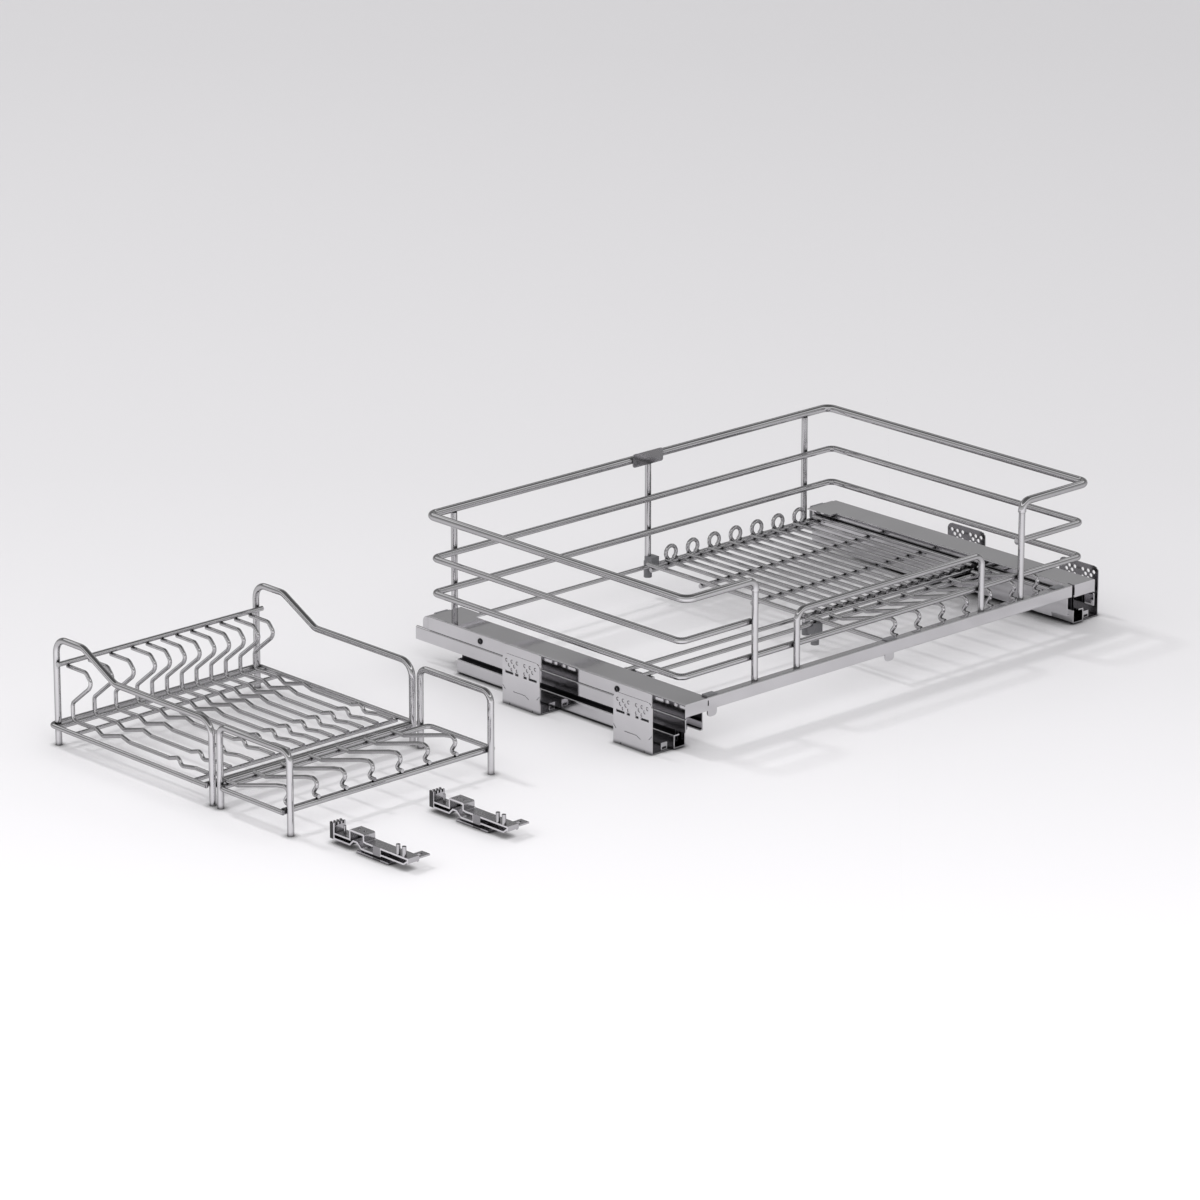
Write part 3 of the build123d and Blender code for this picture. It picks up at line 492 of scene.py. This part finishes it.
def start_tree(name, inputs):
    """A geometry tree with a geometry way through and the named inputs."""
    tree = bpy.data.node_groups.new(name, "GeometryNodeTree")
    ways = [("Geometry", "INPUT", "NodeSocketGeometry")]
    ways += [(label, "INPUT", kind) for label, kind in inputs]
    ways += [("Geometry", "OUTPUT", "NodeSocketGeometry")]
    for label, direction, kind in ways:
        tree.interface.new_socket(name=label, in_out=direction, socket_type=kind)
    return tree, node(tree, "NodeGroupInput").outputs, node(tree, "NodeGroupOutput").inputs


def through(tree, kind, geometry, **values):
    """A node that a geometry passes through."""
    made = node(tree, kind, **values)
    feed(tree, made.inputs[0], geometry)
    return made.outputs[0]


# %% Tube and ending
def tube(tree, entry):
    """Turns the chain into a curve, rounds its corners and runs a circle along it."""
    curve = through(tree, "GeometryNodeMeshToCurve", entry["Geometry"])
    bent = through(
        tree, "GeometryNodeFilletCurve", curve, mode="POLY", Radius=entry["Bend"],
        Count=bend_steps, Limit_Radius=True,
    )
    half = sums(tree, "MULTIPLY", entry["Diameter"], 0.5)
    ring = node(tree, "GeometryNodeCurvePrimitiveCircle", Resolution=entry["Sides"], Radius=half)
    return through(
        tree, "GeometryNodeCurveToMesh", bent, Profile_Curve=ring.outputs[0], Fill_Caps=True,
    )


def end_tree(tree, entry, leave, geometry):
    """Makes instances real, shades them smooth and gives them the finish."""
    real = through(tree, "GeometryNodeRealizeInstances", geometry)
    smooth = through(tree, "GeometryNodeSetShadeSmooth", real)
    painted = through(tree, "GeometryNodeSetMaterial", smooth, Material=entry["Finish"])
    feed(tree, leave[0], painted)


# %% Wire tree
wire_inputs = [
    ("Diameter", "NodeSocketFloat"),
    ("Bend", "NodeSocketFloat"),
    ("Sides", "NodeSocketInt"),
    ("Finish", "NodeSocketMaterial"),
]
wire_tree, entry, leave = start_tree("bent_wire", wire_inputs)
end_tree(wire_tree, entry, leave, tube(wire_tree, entry))
print("bent_wire:", len(wire_tree.nodes), "nodes")

# %% [markdown]
# ## Rows of wire
#
# In an insert the same bent wire is welded on again and again, held by a jig with slots. The second
# tree is that jig: it lays points in a row, the first of them at a wide pitch and the rest at a
# narrow one, and puts a copy of the wire on each point. The comb of the plate insert needs both
# pitches, the other inserts only the wide one.

# %% Wire row tree
row_inputs = [
    ("First", "NodeSocketFloat"),
    ("Wide Pitch", "NodeSocketFloat"),
    ("Wide Slots", "NodeSocketInt"),
    ("Narrow Pitch", "NodeSocketFloat"),
    ("Wires", "NodeSocketInt"),
]
row_tree, entry, leave = start_tree("wire_row", wire_inputs + row_inputs)
number = node(row_tree, "GeometryNodeInputIndex").outputs[0]
wide = sums(row_tree, "MINIMUM", number, entry["Wide Slots"])
narrow = sums(row_tree, "SUBTRACT", number, wide)
wide_run = sums(row_tree, "MULTIPLY", wide, entry["Wide Pitch"])
narrow_run = sums(row_tree, "MULTIPLY", narrow, entry["Narrow Pitch"])
run = sums(row_tree, "ADD", wide_run, narrow_run)
spot = node(row_tree, "ShaderNodeCombineXYZ", X=sums(row_tree, "ADD", run, entry["First"]))
line = node(row_tree, "GeometryNodeMeshLine", Count=entry["Wires"])
slots = through(row_tree, "GeometryNodeSetPosition", line.outputs[0], Position=spot.outputs[0])
copies = through(row_tree, "GeometryNodeInstanceOnPoints", slots, Instance=tube(row_tree, entry))
end_tree(row_tree, entry, leave, copies)
print("wire_row:", len(row_tree.nodes), "nodes")

# %% [markdown]
# ## From a tree to a piece
#
# The trees work on a chain: a mesh of bare edges through the corner points of the wire. The chain
# gets the tree as a modifier, the modifier's inputs get the sizes, and the evaluated result is
# copied into a plain mesh. That plain mesh is what rides on a body, because a mesh keeps its shape
# in the export, and a modifier doesn't. All sizes below are in millimetres, as on a workshop
# drawing.

# %% Chain and growth
MM = 0.001


def chain(paths):
    """A mesh of bare edges along each path. A path that ends on its first point is closed."""
    points = []
    edges = []
    for path in paths:
        closed = path[0] == path[-1]
        corners = path[:-1] if closed else path
        start = len(points)
        points += [tuple(v * MM for v in corner) for corner in corners]
        edges += [(start + i, start + i + 1) for i in range(len(corners) - 1)]
        if closed:
            edges.append((start + len(corners) - 1, start))
    mesh = bpy.data.meshes.new("chain")
    mesh.from_pydata(points, edges, [])
    return mesh


def grown(name, paths, tree, values):
    """Runs a geometry tree on a chain and keeps the result as a plain mesh."""
    source = bpy.data.objects.new(name + "_source", chain(paths))
    scene.collection.objects.link(source)
    modifier = source.modifiers.new("tree", "NODES")
    modifier.node_group = tree
    for item in tree.interface.items_tree:
        if item.in_out == "INPUT" and item.name in values:
            modifier[item.identifier] = values[item.name]
    bpy.context.view_layer.update()
    ready = source.evaluated_get(bpy.context.evaluated_depsgraph_get())
    mesh = bpy.data.meshes.new_from_object(ready)
    mesh.name = name
    bpy.data.objects.remove(source)
    piece = bpy.data.objects.new(name, mesh)
    scene.collection.objects.link(piece)
    return piece


# %% Wire and row
rim_wire, post_wire, frame_wire, floor_wire, thin_wire = 10.0, 8.0, 6.0, 5.5, 5.0
sides_of = {rim_wire: 24, post_wire: 20, frame_wire: 16, floor_wire: 16, thin_wire: 12}
straight = 1.0


def wire(name, nodes, body, paths, diameter, bend=straight, row=None):
    """A piece of one or more bent wires that stands for CAD nodes and rides on a body."""
    values = {
        "Diameter": diameter * MM, "Bend": bend * MM, "Sides": sides_of[diameter],
        "Finish": finishes["chrome_wire"], **(row or {}),
    }
    piece = grown(name, paths, row_tree if row else wire_tree, values)
    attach(piece, body)
    if nodes:
        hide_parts(*nodes)
    print(name, len(piece.data.polygons), "faces")


def row_of(wires, first, wide_pitch, wide_slots, narrow_pitch=0.0):
    """The sizes of a row of wires."""
    return {
        "Wires": wires, "First": first * MM, "Wide Pitch": wide_pitch * MM,
        "Wide Slots": wide_slots, "Narrow Pitch": narrow_pitch * MM,
    }


def across(left, right, y, z):
    """A straight path from the left to the right."""
    return [(left, y, z), (right, y, z)]


# %% [markdown]
# ## Rims, posts and hoop
#
# The basket has three rims. The top one is thicker and bends down at the front into the two front
# posts, and the two lower ones lie inside the posts. The middle rim is open at the front between
# the posts, the lower one is closed. Each is one path along the wire's centre line, bent at its
# corners, as the real wire is: a pipe round a box's edges would have no true bends. Three thin
# wires across the basket's floor carry the inserts.

# %% Rims
rim_half, post_line, back_line = 341.3, 8.4, 459.9
rim_front, rim_back = 16.4, 451.9
top, middle, low = 184.7, 131.9, 87.6
joint, bar_top = 171.7, 61.3
left_post, right_post = -229.5, 224.5

wire("top_rim_tube", ["top_rim"], "basket", [[
    (left_post, post_line, joint), (left_post, post_line, top), (-rim_half, post_line, top),
    (-rim_half, back_line, top), (rim_half, back_line, top), (rim_half, post_line, top),
    (right_post, post_line, top), (right_post, post_line, joint),
]], rim_wire, bend=12.0)
wire("middle_rim_tube", ["middle_rim"], "basket", [[
    (left_post, rim_front, middle), (-rim_half, rim_front, middle), (-rim_half, rim_back, middle),
    (rim_half, rim_back, middle), (rim_half, rim_front, middle), (right_post, rim_front, middle),
]], post_wire, bend=9.0)
wire("lower_rim_tube", ["lower_rim"], "basket", [[
    (-rim_half, rim_front, low), (-rim_half, rim_back, low), (rim_half, rim_back, low),
    (rim_half, rim_front, low), (-rim_half, rim_front, low),
]], post_wire, bend=9.0)

# %% Hoop and posts
hoop_left, hoop_right, hoop_top = -160.0, 155.0, 132.0
rear_post, middle_post = 299.5, 24.4
side_foot, clip_foot = 40.0, 47.0
under_rim = top - 4.98

wire("front_hoop_tube", ["front_hoop"], "basket", [[
    (hoop_left, post_line, bar_top), (hoop_left, post_line, hoop_top),
    (hoop_right, post_line, hoop_top), (hoop_right, post_line, bar_top),
]], post_wire, bend=13.0)
posts = [
    ("left_front_post", left_post, post_line, bar_top, joint),
    ("right_front_post", right_post, post_line, bar_top, joint),
    ("left_rear_post", -rear_post, back_line, side_foot, under_rim),
    ("middle_rear_post", middle_post, back_line, clip_foot, under_rim),
    ("right_rear_post", rear_post, back_line, side_foot, under_rim),
]
for name, x, y, foot, head in posts:
    wire(name + "_tube", [name], "basket", [[(x, y, foot), (x, y, head)]], post_wire)

# %% Floor wires
floor_half, floor_height = 311.5, 42.4
floor_rows = {"front": 150.0, "middle": 178.0, "rear": 453.15}
for name, y in floor_rows.items():
    path = across(-floor_half, floor_half, y, floor_height)
    wire(f"{name}_floor_tube", [f"{name}_floor_wire"], "basket", [path], floor_wire)

# %% [markdown]
# ## Cover screws
#
# Each cover is held by two screws from the side. A screw is turned round its axis from a profile,
# so one outline of radius and height gives the shank, the domed head and the socket for the driver.
# With four screws in all, plain loops write the rings of points. The head is dark, and the socket
# gets the bright steel as a painted highlight, for the light that falls on its walls.

# %% One screw
screw_outline = [
    (0.0, -3.0), (2.0, -3.0), (2.0, 0.0), (3.75, 0.0), (3.8, 0.5), (3.3, 1.4), (2.6, 1.75),
    (2.0, 1.8), (1.8, 1.6), (1.8, 0.3), (0.0, 0.1),
]
turns = 24
cover_face, screw_height, screw_rows = 350.0, 51.0, (116.0, 357.0)


def turned_screw(points, faces, side, row):
    """Adds the rings of one screw whose head looks to the given side."""
    first = len(points)
    for radius, out in screw_outline:
        for step in range(turns):
            angle = 2 * math.pi * step / turns
            y, z = row + radius * math.cos(angle), screw_height + radius * math.sin(angle)
            points.append((side * (cover_face + out) * MM, y * MM, z * MM))
    for start in range(first, len(points) - turns, turns):
        for step in range(turns):
            here, beside = start + step, start + (step + 1) % turns
            corners = [here, beside, beside + turns, here + turns]
            faces.append(corners if side < 0 else corners[::-1])


# %% All the screws
points, faces = [], []
for side in (-1, 1):
    for row in screw_rows:
        turned_screw(points, faces, side, row)
screw_mesh = bpy.data.meshes.new("cover_screw_heads")
screw_mesh.from_pydata(points, [], faces)
shaper = bmesh.new()
shaper.from_mesh(screw_mesh)
bmesh.ops.remove_doubles(shaper, verts=shaper.verts, dist=1e-6)
bmesh.ops.recalc_face_normals(shaper, faces=shaper.faces)
shaper.to_mesh(screw_mesh)
shaper.free()
screws = bpy.data.objects.new("cover_screw_heads", screw_mesh)
scene.collection.objects.link(screws)
print("screws:", len(screw_mesh.polygons), "faces")

# %% Screw sockets
socket_reach = 1.85
screw_mesh.materials.append(finishes["dark_steel"])
screw_mesh.materials.append(finishes["bright_steel"])
# Socket faces get the bright steel: a painted highlight in the dark head.
for flat in screw_mesh.polygons:
    x, y, z = flat.center / MM
    from_axis = min(math.hypot(y - row, z - screw_height) for row in screw_rows)
    if abs(x) > cover_face and from_axis < socket_reach:
        flat.material_index = 1
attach(screws, "basket")
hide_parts("cover_screws")
print("faces in the sockets:", sum(flat.material_index for flat in screw_mesh.polygons))

# %% [markdown]
# ## Plate insert
#
# The plate insert has a tall hoop at each side with a sloped shoulder, and a frame wire round its
# foot. Its wires stand up at the back like a comb, and each has small dips for the rims of plates.
# The comb is one path in the row tree, so all its teeth are alike, as they are from one bending
# tool.

# %% Plate insert frame
left_x, spacing = -863.0, 302.0
right_x = left_x + spacing
front, back = 240.0, 523.0
shoulder, crown = 101.5, 131.5
slope_top, slope_foot = back - 51, back - 109.4
frame_z, comb_rail = 24.5, 101.0
frame_left, frame_right, frame_back = left_x - 6.99, right_x + 7, back + 6.99

hoops = [[
    (x, back, 0), (x, back, crown), (x, slope_top, crown), (x, slope_foot, shoulder),
    (x, front, shoulder), (x, front, 0),
] for x in (left_x, right_x)]
wire("plate_hoops", ["plate_insert_frame"], "plate_insert", hoops, post_wire, bend=18.0)
wire("plate_frame_loop", [], "plate_insert", [
    [
        (frame_left, front + 2, frame_z), (frame_left, frame_back, frame_z),
        (frame_right, frame_back, frame_z), (frame_right, front + 2, frame_z),
    ],
    across(frame_left, frame_right, front + 7, frame_z),
    across(frame_left, frame_right, back - 7, frame_z),
    across(left_x - 4, right_x + 4, back - 7, comb_rail),
], frame_wire, bend=8.0)
wire("plate_front_rail", [], "plate_insert", [
    across(left_x + 4, right_x - 4, front, frame_z),
], post_wire)

# %% Plate insert comb
seat = frame_z + 5.5
wall = back - 12.5
comb = [
    (0, back - 5, 95.5), (0, back - 39, 95.5), (0, back - 49, 84.5), (0, back - 44, 76.5),
    (0, wall, 51.5), (0, wall, seat), (0, back - 31, seat), (0, back - 56, seat + 1),
    (0, back - 68, seat - 5), (0, back - 103, seat + 4), (0, back - 118, seat),
    (0, back - 191, seat), (0, back - 208, seat + 5), (0, back - 212, seat - 4),
    (0, back - 238, seat), (0, back - 262, seat),
]
cross_rows = (back - 33, back - 250)
comb_row = row_of(wires=12, first=left_x + 12.2, wide_pitch=32, wide_slots=3, narrow_pitch=22.5)
wire(
    "plate_comb_wires", ["plate_insert_wires"], "plate_insert", [comb], thin_wire, bend=7.0,
    row=comb_row,
)
wire("plate_cross_wires", ["plate_insert_cross_wires"], "plate_insert", [
    across(left_x - 4, right_x + 4, y, frame_z - 3) for y in cross_rows
], thin_wire)

# %% [markdown]
# ## Bowl inserts
#
# Two bowl inserts are made alike: a thick rail in front, a thin one behind, and wires that rise to
# a hump and dip to the front rail. One stands on hoops beside the rack, one lies in the basket. The
# wire's path is a function of where it starts and ends, because the two differ in nothing else.


# %% Bowl wire
bowl_wires, bowl_pitch, bowl_bend = 7, 41.6, 5.5


def bowl_path(front, back, base):
    """A bowl wire from the thin rail at the back, over the hump, to the thick rail in front."""
    seat = base + 5.5
    return [
        (0, back, seat), (0, front + 97, seat), (0, front + 27, seat + 18.5),
        (0, front + 15, seat + 20.5), (0, front + 8, seat + 18.5), (0, front + 8, seat + 12.5),
        (0, front + 14, seat + 4), (0, front + 12, seat + 1), (0, front + 4.5, seat + 1),
    ]


# %% Bowl insert on hoops
bowl_front, bowl_back, bowl_base, bowl_crown = 103.0, 226.0, 28.0, 99
wire("bowl_hoops", ["bowl_insert_frame"], "bowl_insert", [[
    (x, bowl_back, 0), (x, bowl_back, bowl_crown), (x, bowl_front, bowl_crown),
    (x, bowl_front, 0),
] for x in (left_x, right_x)], post_wire, bend=12.0)
wire("bowl_frame_loop", [], "bowl_insert", [[
    (frame_left, bowl_front + 4, bowl_base), (frame_left, bowl_back - 7, bowl_base),
    (frame_right, bowl_back - 7, bowl_base), (frame_right, bowl_front + 4, bowl_base),
]], frame_wire, bend=8.0)
wire("bowl_front_rail", [], "bowl_insert", [
    across(left_x - 4, right_x + 4, bowl_front + 8, bowl_base),
], post_wire)
wire("bowl_wires", ["bowl_insert_wires"], "bowl_insert", [
    bowl_path(bowl_front, bowl_back - 4.5, bowl_base),
], thin_wire, bowl_bend, row_of(bowl_wires, left_x + 4.4, bowl_pitch, bowl_wires))

# %% Bowl insert in the basket
inside_x, inside_width, inside_z = 12.0, 293.4, 48.45
inside_right = inside_x + inside_width
inside_front, inside_rail, inside_back = 18.0, 134, 156
wire("inside_bowl_frame", ["right_front_insert_frame"], "right_front_insert", [
    [(inside_x, inside_front, inside_z), (inside_x, inside_back, inside_z)],
    [(inside_right, inside_front, inside_z), (inside_right, inside_back, inside_z)],
    across(inside_x, inside_right, inside_rail, inside_z),
], frame_wire)
wire("inside_front_rail", [], "right_front_insert", [
    across(inside_x + 3, inside_right - 3, inside_front + 8, inside_z),
], post_wire)
wire("inside_bowl_wires", ["right_front_insert_wires"], "right_front_insert", [
    bowl_path(inside_front, inside_rail + 2.5, inside_z),
], thin_wire, bowl_bend, row_of(bowl_wires, inside_x + 12.3, bowl_pitch, bowl_wires))

# %% [markdown]
# ## Flat insert with its loops
#
# The flat insert lies in the back right of the basket. Each of its wires runs to the back, closes
# in a round loop that stands up like the Greek letter omega, and runs to the front again. The loop
# is a row of points on a circle, and the tree rounds the corners where it meets the two straight
# runs.

# %% Flat insert frame
flat_front, flat_back, loop_line = 166, 447.5, 444.5
flat_rows, flat_under = (168, 258, 350, 439), inside_z - 5.98
wire("flat_frame", ["right_rear_insert_frame"], "right_rear_insert", [
    [(inside_x, flat_front, inside_z), (inside_x, flat_back, inside_z)],
    [(inside_right, flat_front, inside_z), (inside_right, flat_back, inside_z)],
    *[across(inside_x - 2, inside_right + 2, y, flat_under) for y in flat_rows],
], frame_wire)

# %% Flat insert loops
run_half, neck, run_z = 9.4, 5.2, inside_z - 0.5
loop_radius, loop_height = 8.8, 8.5
loop_wires, loop_pitch = 7, 37.6
loop_start, loop_sweep, loop_steps = 235, 290, 12
loop = [
    (-run_half, flat_front, run_z), (-run_half, loop_line, run_z), (-neck, loop_line, run_z + 0.6),
]
for step in range(loop_steps + 1):
    angle = math.radians(loop_start - step * loop_sweep / loop_steps)
    up = run_z + loop_height + loop_radius * math.sin(angle)
    loop.append((loop_radius * math.cos(angle), loop_line, up))
loop += [
    (neck, loop_line, run_z + 0.6), (run_half, loop_line, run_z), (run_half, flat_front, run_z),
]
wire(
    "flat_loop_wires", ["right_rear_insert_wires"], "right_rear_insert", [loop], thin_wire,
    bend=3.0, row=row_of(loop_wires, inside_x + loop_pitch, loop_pitch, loop_wires),
)
